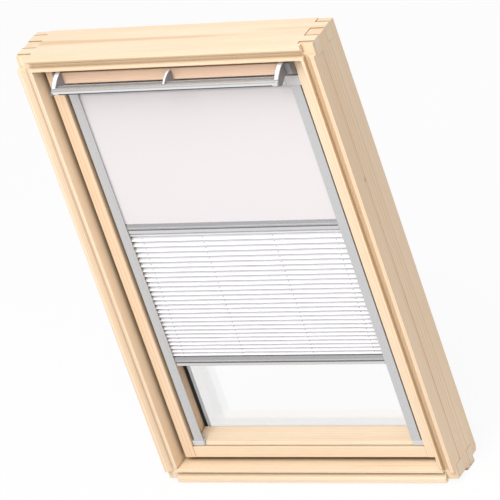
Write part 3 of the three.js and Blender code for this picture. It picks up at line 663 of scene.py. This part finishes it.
@dataclass
class SubAssembly:
    """A group of nodes and pieces that are dressed together."""

    def dress(self, node: str, finish: Finish, edge_mm: float = 0.0) -> None:
        """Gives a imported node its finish, and soft edges where its real piece has them.

        Args:
            node: The node's name.
            finish: What it is made of.
            edge_mm: The width of its softened edges; 0 leaves them as they are.
        """
        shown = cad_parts[node]
        for held in shown.material_slots:
            held.material = finish.material()
        if edge_mm:
            self.soften(shown, edge_mm)
        log.info("dressed %s in %s", node, finish.name)

    def dress_sides(self, name: str, finish: Finish, edge_mm: float) -> None:
        """Dresses the left and the right node of one name."""
        for side in SIDES:
            self.dress(f"{name}_{side}", finish, edge_mm)

    def soften(self, shown: Piece, edge_mm: float) -> None:
        """Breaks the sharp edges of a piece with a narrow rounded arris.

        Args:
            shown: The piece.
            edge_mm: The arris's width.
        """
        weld = shown.modifiers.new("join_corners", "WELD")
        weld.merge_threshold = mm(0.01)
        flat = shown.modifiers.new("join_flats", "DECIMATE")
        flat.decimate_type = "DISSOLVE"
        flat.angle_limit = math.radians(1.0)
        arris = shown.modifiers.new("soft_edges", "BEVEL")
        arris.width = mm(edge_mm)
        arris.segments = 2
        arris.limit_method = "ANGLE"
        arris.angle_limit = math.radians(35.0)
        arris.use_clamp_overlap = True

    def keep(self, piece: Piece, body: str, slot: str, *nodes: str) -> None:
        """Ties a new piece to its body, and hides the nodes that it stands for."""
        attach(piece, body)
        self.label(piece, slot, *nodes)

    def label(self, piece: Piece, slot: str, *nodes: str) -> None:
        """Hides the nodes that a piece replaces, and reports the piece."""
        if nodes:
            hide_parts(*nodes)
        log.info("made %s with %d faces", piece.name, len(piece.data.polygons))


@dataclass
class OuterFrame(SubAssembly):
    """The frame's four timbers, their outside covers and the pivots' fixed plates."""

    arris_mm: float = 0.9
    cover_edge_mm: float = 0.5
    screw_rings: int = 8
    screw_spokes: int = 40
    dome_share: float = 0.97        # how much of a full half ball the screw's head is
    recess_arm_share: float = 0.55
    recess_depth_share: float = 0.8
    finger_length: float = mm(37.0)
    rabbet_depth: float = mm(12.0)
    comb_shares: tuple[float, ...] = (0.08, 0.315, 0.59, 0.835)
    joint_line_width: float = mm(1.3)
    joint_line_height: float = mm(0.25)

    def build(self) -> None:
        """Dresses the timbers, the covers and the fixed hinge plates, and drives the screws."""
        timbers = (
            LacqueredPine("pine_frame_head", grain=Grain.ACROSS, pith_mm=(-1060.0, 30.0), seed=0.13),
            LacqueredPine("pine_frame_sill", grain=Grain.ACROSS, pith_mm=(90.0, 60.0), seed=0.71),
            LacqueredPine("pine_frame_jamb_left", pith_mm=(320.0, -70.0), seed=0.37),
            # painted shade: this jamb's wood is warmer, as its outer side lies in shade
            LacqueredPine("pine_frame_jamb_right", colour="#F9DFBE", late_wood="#E0B082", warm_wood="#F4D2AC",
                          pith_mm=(-300.0, -30.0), seed=0.93),
        )
        for timber in timbers:
            self.dress(timber.name.removeprefix("pine_"), timber, self.arris_mm)
        for side in (*SIDES, "top", "bottom"):
            self.dress(f"frame_cover_{side}", COVER, self.cover_edge_mm)
        for side in SIDES:
            self.dress(f"frame_hinge_plate_{side}", STEEL, edge_mm=0.3)
            for end in ("lower", "upper"):
                self.screw(side, end)
            self.glue_and_shade_lines(side)

    def glue_and_shade_lines(self, side: str) -> None:
        """Draws the dark lines of the comb joint on the head's top, glue lines and painted shade of the gaps
        between the fingers, as one thin piece for each corner.

        Args:
            side: Which corner of the head.
        """
        low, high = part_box("frame_head")
        depth = high.y - low.y - self.rabbet_depth
        sign = -1.0 if side == "left" else 1.0
        edge = high.x - self.joint_line_height
        build = bmesh.new()
        for share in self.comb_shares:
            y = low.y + self.rabbet_depth + share * depth
            for corner in bmesh.ops.create_cube(build, size=1.0)["verts"]:
                corner.co = Vector((
                    sign * (edge - self.finger_length if corner.co.x < 0 else edge),
                    y if corner.co.y < 0 else y + self.joint_line_width,
                    high.z if corner.co.z < 0 else high.z + self.joint_line_height,
                ))
        piece = mesh_from(f"glue_and_shade_lines_{side}", build, (GLUE_AND_GAP_SHADE,))
        self.keep(piece, "frame", "pine")

    def screw(self, side: str, end: str) -> None:
        """Makes one domed screw head with a cross recess, in place of its plain node.

        Args:
            side: The jamb that it is driven into.
            end: Which end of the plate it holds.
        """
        node = f"frame_hinge_screw_{side}_{end}"
        low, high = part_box(node)
        seat, tip = (low.x, high.x) if side == "left" else (high.x, low.x)
        centre_y, centre_z = (low.y + high.y) / 2, (low.z + high.z) / 2
        radius = (high.z - low.z) / 2
        build = bmesh.new()
        rings = []
        for number in range(1, self.screw_rings + 1):
            out = number / self.screw_rings
            ring = []
            for spoke in range(self.screw_spokes):
                angle = 2 * math.pi * spoke / self.screw_spokes
                dome = math.sqrt(1.0 - self.dome_share * out * out)
                in_cross = spoke % (self.screw_spokes // 4) in (0, 1, self.screw_spokes // 4 - 1)
                if in_cross and out < self.recess_arm_share:
                    dome -= self.recess_depth_share * (1.0 - out / self.recess_arm_share)
                ring.append(build.verts.new((
                    seat + (tip - seat) * dome, centre_y + radius * out * math.cos(angle),
                    centre_z + radius * out * math.sin(angle),
                )))
            rings.append(ring)
        rings.append([build.verts.new((seat, vert.co.y, vert.co.z)) for vert in rings[-1]])
        middle = build.verts.new((seat + (tip - seat) * (1.0 - self.recess_depth_share), centre_y, centre_z))
        for spoke in range(self.screw_spokes):
            following = (spoke + 1) % self.screw_spokes
            build.faces.new((middle, rings[0][spoke], rings[0][following]))
            for near, far in zip(rings, rings[1:]):
                build.faces.new((near[spoke], far[spoke], far[following], near[following]))
        build.faces.new(rings[-1])
        piece = mesh_from(f"hinge_screw_{side}_{end}", build, (STEEL,))
        self.keep(piece, "frame", "steel", node)


@dataclass
class Sash(SubAssembly):
    """The opening sash: its timber, the glass unit, the seals, the covers and the pivots' moving plates."""

    arris_mm: float = 0.9

    def build(self) -> None:
        """Dresses every node of the sash."""
        timbers = (
            LacqueredPine("pine_sash_top_rail", grain=Grain.ACROSS, pith_mm=(-1010.0, 45.0), seed=0.22),
            LacqueredPine("pine_sash_bottom_rail", grain=Grain.ACROSS, pith_mm=(-30.0, 70.0), seed=0.58),
            # painted shade: this stile's wood is darker, as it lies in the recess's shade
            LacqueredPine("pine_sash_stile_left", colour="#F5DABB", late_wood="#DDAE84", warm_wood="#F0CCA6",
                          pith_mm=(270.0, -60.0), seed=0.81),
            LacqueredPine("pine_sash_stile_right", pith_mm=(-390.0, -20.0), seed=0.44),
        )
        for timber in timbers:
            self.dress(timber.name.removeprefix("pine_"), timber, self.arris_mm)
        self.dress("sash_seal", RUBBER, edge_mm=0.8)
        self.dress("glazing_gasket", RUBBER, edge_mm=0.5)
        for pane in ("pane_inner", "pane_outer"):
            self.dress(pane, GLASS)
        self.dress("glass_spacer", SPACER)
        self.dress("glass_edge_seal", SEALANT)
        for side in (*SIDES, "top", "bottom"):
            self.dress(f"sash_cover_{side}", COVER, edge_mm=0.4)
        self.dress_sides("sash_hinge_plate", STEEL, edge_mm=0.3)


@dataclass(frozen=True)
class Crown:
    """An arm's crown in side view: how far it reaches from the board and drops from its top."""

    start_out: float = mm(1.0)
    brow_out: float = mm(28.0)
    brow_drop: float = mm(3.9)
    nose_out: float = mm(50.0)
    nose_drop: float = mm(33.0)
    landing: float = 0.77      # the share of the curve at which it meets the bar


@dataclass
class VentFlap(SubAssembly):
    """The ventilation flap in the head of the sash, with the arms and the bar that turn it."""

    side_crown: Crown = Crown()
    middle_crown: Crown = Crown(brow_out=mm(31.5), brow_drop=mm(-1.0), nose_drop=mm(26.5), landing=0.74)
    face_thickness: float = mm(0.5)
    face_inset: float = mm(0.4)
    foot_inset: float = mm(2.2)
    # the dark strip under the bar is painted shade
    shade_strip_radius: float = mm(8.0)
    shade_strip_thickness: float = mm(0.5)
    shade_strip_turn: float = 66.0
    grip_end: float = mm(16.0)
    crown_steps: int = 16
    slope_rise: float = mm(12.0)
    slope_depth: float = mm(18.5)
    board_arris_mm: float = 0.9
    plate_gap: float = mm(0.2)

    def build(self) -> None:
        """Dresses the board, its end caps, the arms and the bar."""
        # painted shade: the board's wood is darker, as it lies recessed under the head
        board = LacqueredPine("pine_flap_board", colour="#EBCCB2", late_wood="#DDB596", warm_wood="#E4C0A3",
                              grain=Grain.ACROSS, pith_mm=(-1180.0, 60.0), seed=0.05)
        self.plane("flap_board", "pine", board)
        for side in SIDES:
            self.plane(f"flap_end_cap_{side}", "arm_grey", ARM_GREY)
        crowns = {"left": self.side_crown, "right": self.side_crown, "middle": self.middle_crown}
        for side, crown in crowns.items():
            self.dress(f"control_arm_{side}", ARM_GREY, edge_mm=0.5)
            self.face(side, crown)
            if side != "middle":
                self.end_plate(side)
        self.dress("control_bar", HANDLE_METAL, edge_mm=0.5)
        self.lay_underside_shade()

    def end_plate(self, side: str) -> None:
        """Lays the end cap's thin grey front over the board's end, from the arm outward.

        Args:
            side: Which end of the board.
        """
        board_low, board_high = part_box("flap_board")
        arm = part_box(f"control_arm_{side}")[1 if side == "right" else 0].x
        sign = math.copysign(1.0, arm)
        across = (arm + sign * self.plate_gap, sign * (board_high.x - self.plate_gap))
        foot = board_low.z + self.slope_rise
        section = [
            (board_low.y - self.face_thickness, foot), (board_low.y, foot),
            (board_low.y, board_high.z), (board_low.y - self.face_thickness, board_high.z),
        ]
        piece = mesh_from(f"end_plate_{side}", extruded(section, across), (ARM_GREY,))
        self.keep(piece, "vent_flap", "arm_grey")

    def plane(self, node: str, slot: str, finish: Finish) -> None:
        """Makes the board or an end cap again, with its lower front planed to a slope.

        Args:
            node: The node's name.
            slot: The record's material slot.
            finish: What it is made of.
        """
        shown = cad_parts[node]
        low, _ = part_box(node)
        build = bmesh.new()
        build.from_mesh(shown.data)
        build.transform(shown.matrix_world)
        bmesh.ops.remove_doubles(build, verts=build.verts, dist=mm(0.01))
        slope = Vector((0.0, -self.slope_rise, -self.slope_depth))
        cut = bmesh.ops.bisect_plane(
            build, geom=[*build.verts, *build.edges, *build.faces], dist=mm(0.001),
            plane_co=(0.0, low.y, low.z + self.slope_rise), plane_no=slope, clear_outer=True,
        )["geom_cut"]
        bmesh.ops.holes_fill(build, edges=[item for item in cut if isinstance(item, bmesh.types.BMEdge)])
        piece = mesh_from(f"planed_{node}", build, (finish,))
        self.soften(piece, self.board_arris_mm)
        self.keep(piece, "vent_flap", slot, node)

    def lay_underside_shade(self) -> None:
        """Lays a thin dark strip along the bar's underside, round to the lower front, as painted shade."""
        low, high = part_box("control_bar")
        centre = Vector((low.y + self.shade_strip_radius, low.z + self.shade_strip_radius))
        inner, outer = [], []
        for reach, line in ((self.shade_strip_radius, inner), (self.shade_strip_radius + self.shade_strip_thickness, outer)):
            line.append((high.y - self.shade_strip_thickness, centre.y - reach))
            for turn in spread_out(0.0, math.radians(self.shade_strip_turn), self.crown_steps):
                line.append((centre.x - reach * math.sin(turn), centre.y - reach * math.cos(turn)))
        ends = (low.x + self.grip_end, high.x - self.grip_end)
        piece = mesh_from("bar_underside_shade", extruded(inner + outer[::-1], ends), (UNDERSIDE_SHADE_STRIP,))
        self.keep(piece, "vent_flap", "rubber")

    def face(self, side: str, crown: Crown) -> None:
        """Lays a pale strip over an arm's crown, from the board down to the bar, where it is narrower: a
        painted highlight on the arm's front.

        Args:
            side: Which arm.
            crown: The arm's side view.
        """
        low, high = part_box(f"control_arm_{side}")
        start = Vector((high.y - crown.start_out, high.z))
        brow = Vector((high.y - crown.brow_out, high.z - crown.brow_drop))
        nose = Vector((high.y - crown.nose_out, high.z - crown.nose_drop))
        line = [Vector((high.y, high.z))]
        for share in spread_out(0.0, crown.landing, self.crown_steps):
            line.append(start.lerp(brow, share).lerp(brow.lerp(nose, share), share))
        outside = []
        for index, point in enumerate(line):
            along = line[min(index + 1, len(line) - 1)] - line[max(index - 1, 0)]
            outside.append(point + Vector((along.y, -along.x)).normalized() * self.face_thickness)
        section = [tuple(point) for point in line + outside[::-1]]
        build = extruded(section, (low.x, high.x))
        middle = (low.x + high.x) / 2
        for corner in build.verts:
            forward = (high.y - corner.co.y) / (high.y - line[-1].x)
            inset = self.face_inset + (self.foot_inset - self.face_inset) * min(max(forward, 0.0), 1.0)
            corner.co.x -= math.copysign(inset, corner.co.x - middle)
        piece = mesh_from(f"arm_highlight_strip_{side}", build, (ARM_HIGHLIGHT,))
        self.keep(piece, "vent_flap", "cap_grey")


@dataclass
class BlindCase(SubAssembly):
    """The blind's side rails, their caps, the headbox and the roller inside it."""

    turns: int = 10
    steps_in_turn: int = 28
    cloth_thickness: float = mm(0.36)
    inner_radius: float = mm(6.85)

    def build(self) -> None:
        """Dresses the rails and the case, and winds the cloth on its tube."""
        self.dress_sides("blind_rail", RAIL_SILVER, edge_mm=0.5)
        self.dress_sides("rail_top_cap", CAP_GREY, edge_mm=0.8)
        self.dress_sides("rail_bottom_cap", CAP_GREY, edge_mm=0.8)
        self.dress("blind_headbox", RAIL_SILVER, edge_mm=0.5)
        self.dress("roller_tube", STEEL)
        self.dress("roller_spring_unit", STEEL)
        self.wind()

    def wind(self) -> None:
        """Makes the wound cloth as one spiral strip round the tube."""
        low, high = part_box("wound_cloth")
        centre_y, centre_z = (low.y + high.y) / 2, (low.z + high.z) / 2
        outer_radius = (high.z - low.z) / 2 - self.cloth_thickness
        steps = self.turns * self.steps_in_turn
        inner, outer = [], []
        for step in range(steps + 1):
            turn = 2 * math.pi * step / self.steps_in_turn
            radius = self.inner_radius + (outer_radius - self.inner_radius) * step / steps
            for line, reach in ((inner, radius), (outer, radius + self.cloth_thickness)):
                line.append((centre_y - reach * math.cos(turn), centre_z - reach * math.sin(turn)))
        piece = mesh_from("wound_blackout_cloth", strip(inner, outer, (low.x, high.x)), (BLACKOUT,))
        self.keep(piece, "roller", "blackout", "wound_cloth")


@dataclass
class BlackoutBlind(SubAssembly):
    """The flat blackout cloth with its bar and sliders."""

    thickness: float = mm(0.36)
    columns: int = 24
    rows: int = 12

    def build(self) -> None:
        """Hangs the cloth and dresses the bar."""
        self.hang()
        self.dress("blackout_bar", BAR_METAL, edge_mm=0.4)
        self.dress_sides("blackout_slider", SLIDER_GREY, edge_mm=0.8)

    def hang(self) -> None:
        """Makes the cloth: a thin sheet, coated behind."""
        low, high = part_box("blackout_cloth")
        middle_y = (low.y + high.y) / 2
        front, back = middle_y - self.thickness / 2, middle_y + self.thickness / 2
        build = bmesh.new()
        across = spread_out(low.x, high.x, self.columns)
        up = spread_out(low.z, high.z, self.rows)
        sheets = []
        for depth in (front, back):
            sheets.append([[build.verts.new((x, depth, z)) for x in across] for z in up])
        for number, sheet in enumerate(sheets):
            for row in range(self.rows):
                for column in range(self.columns):
                    face = build.faces.new((
                        sheet[row][column], sheet[row][column + 1],
                        sheet[row + 1][column + 1], sheet[row + 1][column],
                    ))
                    face.material_index = number
        near, far = sheets
        for row in range(self.rows):
            for column in (0, self.columns):
                build.faces.new((
                    near[row][column], near[row + 1][column], far[row + 1][column], far[row][column],
                ))
        for column in range(self.columns):
            for row in (0, self.rows):
                build.faces.new((
                    near[row][column], near[row][column + 1], far[row][column + 1], far[row][column],
                ))
        piece = mesh_from("blackout_sheet", build, (BLACKOUT, BLACKOUT_BACK))
        self.keep(piece, "sash", "blackout", "blackout_cloth")
        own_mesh(piece)


@dataclass
class PleatedBlind(SubAssembly):
    """The pleated cloth with its bar and sliders."""

    pleats: int = 28
    top_share: float = 1.2
    fold_depth: float = mm(12.0)
    into_rails: float = mm(5.5)    # how far each end runs on behind its rail's face
    thickness: float = mm(0.3)
    columns: int = 16

    def build(self) -> None:
        """Folds the cloth and dresses the bar."""
        self.fold()
        self.dress("pleat_bar", BAR_METAL, edge_mm=0.4)
        self.dress_sides("pleat_slider", SLIDER_GREY, edge_mm=0.8)

    def fold(self) -> None:
        """Makes the cloth as a thin strip folded to and fro, closer toward the lower bar."""
        low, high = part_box("pleated_cloth")
        ends = (low.x - self.into_rails, high.x + self.into_rails)
        front = low.y + (high.y - low.y - self.fold_depth) / 2
        folds = 2 * self.pleats
        face, rear = [], []
        for fold in range(folds + 1):
            share = fold / folds
            down = share * (self.top_share + (1 - self.top_share) * share)
            z = high.z + (low.z - high.z) * down
            y = front + (self.fold_depth if fold % 2 == 0 else 0.0)
            face.append((y, z))
            rear.append((y + self.thickness, z))
        piece = mesh_from("pleated_sheet", strip(face, rear, spread_out(*ends, self.columns)), (PLEAT,))
        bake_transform(piece)
        self.label(piece, "pleat", "pleated_cloth")


# Studio


@dataclass
class SoftBox:
    """A large soft lamp of the studio."""

    name: str
    place: Point3
    watts: float
    size: float
    aim: Point3 = (0.0, 0.0, 0.6)
    colour: str = "#FFFFFF"

    def build(self) -> None:
        """Hangs the lamp and turns it to the window."""
        data = bpy.data.lights.new(self.name, "AREA")
        data.shape = "SQUARE"
        data.size = self.size
        data.energy = self.watts
        data.color = linear(self.colour)[:3]
        lamp = bpy.data.objects.new(self.name, data)
        bpy.context.scene.collection.objects.link(lamp)
        lamp.location = self.place
        toward = Vector(self.aim) - Vector(self.place)
        lamp.rotation_euler = toward.to_track_quat("-Z", "Y").to_euler()
        lamp.visible_camera = False
        log.info("hung lamp %s", self.name)


@dataclass
class Studio:
    """The pale floor, the sky of the room and the lamps."""

    floor_half: float = 60.0
    floor_gap: float = mm(0.5)
    sky_light: float = 0.42
    lamps: tuple[SoftBox, ...] = (
        SoftBox("key_lamp", place=(0.45, -2.8, 4.7), watts=252.0, size=3.6),
    )

    def build(self) -> None:
        """Lays the floor, sets the sky and hangs the lamps."""
        build = bmesh.new()
        half = self.floor_half
        corners = ((-half, -half), (half, -half), (half, half), (-half, half))
        build.faces.new([build.verts.new((x, y, -self.floor_gap)) for x, y in corners])
        floor = mesh_from("studio_floor", build, (PAPER,))
        self.sky()
        for lamp in self.lamps:
            lamp.build()

    def sky(self) -> None:
        """Makes the sky plain white to look at and through glass, and softer as a light and in mirrors."""
        world = bpy.data.worlds.new("studio_sky")
        bpy.context.scene.world = world
        world.use_nodes = True
        tree = world.node_tree
        tree.nodes.clear()
        rays = add_node(tree, "ShaderNodeLightPath").outputs
        looked = reckoned(tree, "MAXIMUM", rays["Is Camera Ray"], rays["Is Transmission Ray"])
        strength = ranged(tree, looked, low=self.sky_light, high=1.0)
        light = add_node(tree, "ShaderNodeBackground", {
            "Color": linear("#FFFFFF"), "Strength": strength,
        }).outputs["Background"]
        add_node(tree, "ShaderNodeOutputWorld", {"Surface": light})


@dataclass
class PhotoCamera:
    """The camera at the photograph's place: far off, with a long lens, and rolled."""

    azimuth: float = 35.3625
    elevation: float = 27.2998
    roll: float = 19.3507
    distance: float = 12.12372
    aim: Point3 = (0.00402, -0.00438, 0.60443)
    lens_mm: float = 381.139
    reach: float = 200.0

    def build(self) -> None:
        """Sets the camera up as the scene's own."""
        data = bpy.data.cameras.new("photo_camera")
        data.lens = self.lens_mm
        data.clip_end = self.reach
        camera = bpy.data.objects.new("photo_camera", data)
        bpy.context.scene.collection.objects.link(camera)
        azimuth, elevation, roll = (math.radians(turn) for turn in (self.azimuth, self.elevation, self.roll))
        toward = Vector((
            -math.sin(azimuth) * math.cos(elevation),
            math.cos(azimuth) * math.cos(elevation),
            -math.sin(elevation),
        ))
        level = Vector((math.cos(azimuth), math.sin(azimuth), 0.0))
        upright = level.cross(toward)
        right = level * math.cos(roll) - upright * math.sin(roll)
        up = level * math.sin(roll) + upright * math.cos(roll)
        turned = Matrix((right, up, -toward)).transposed().to_4x4()
        turned.translation = Vector(self.aim) - toward * self.distance
        camera.matrix_world = turned
        bpy.context.scene.camera = camera
        log.info("set the camera %.2f m from the window", self.distance)


def main() -> None:
    """Builds the whole scene."""
    logging.basicConfig(level=logging.INFO, format="%(name)s: %(message)s")
    bpy.context.scene.view_settings.view_transform = "Standard"
    PhotoCamera().build()
    Studio().build()
    for assembly in (OuterFrame(), Sash(), VentFlap(), BlindCase(), BlackoutBlind(), PleatedBlind()):
        assembly.build()


if __name__ == "__main__":
    main()
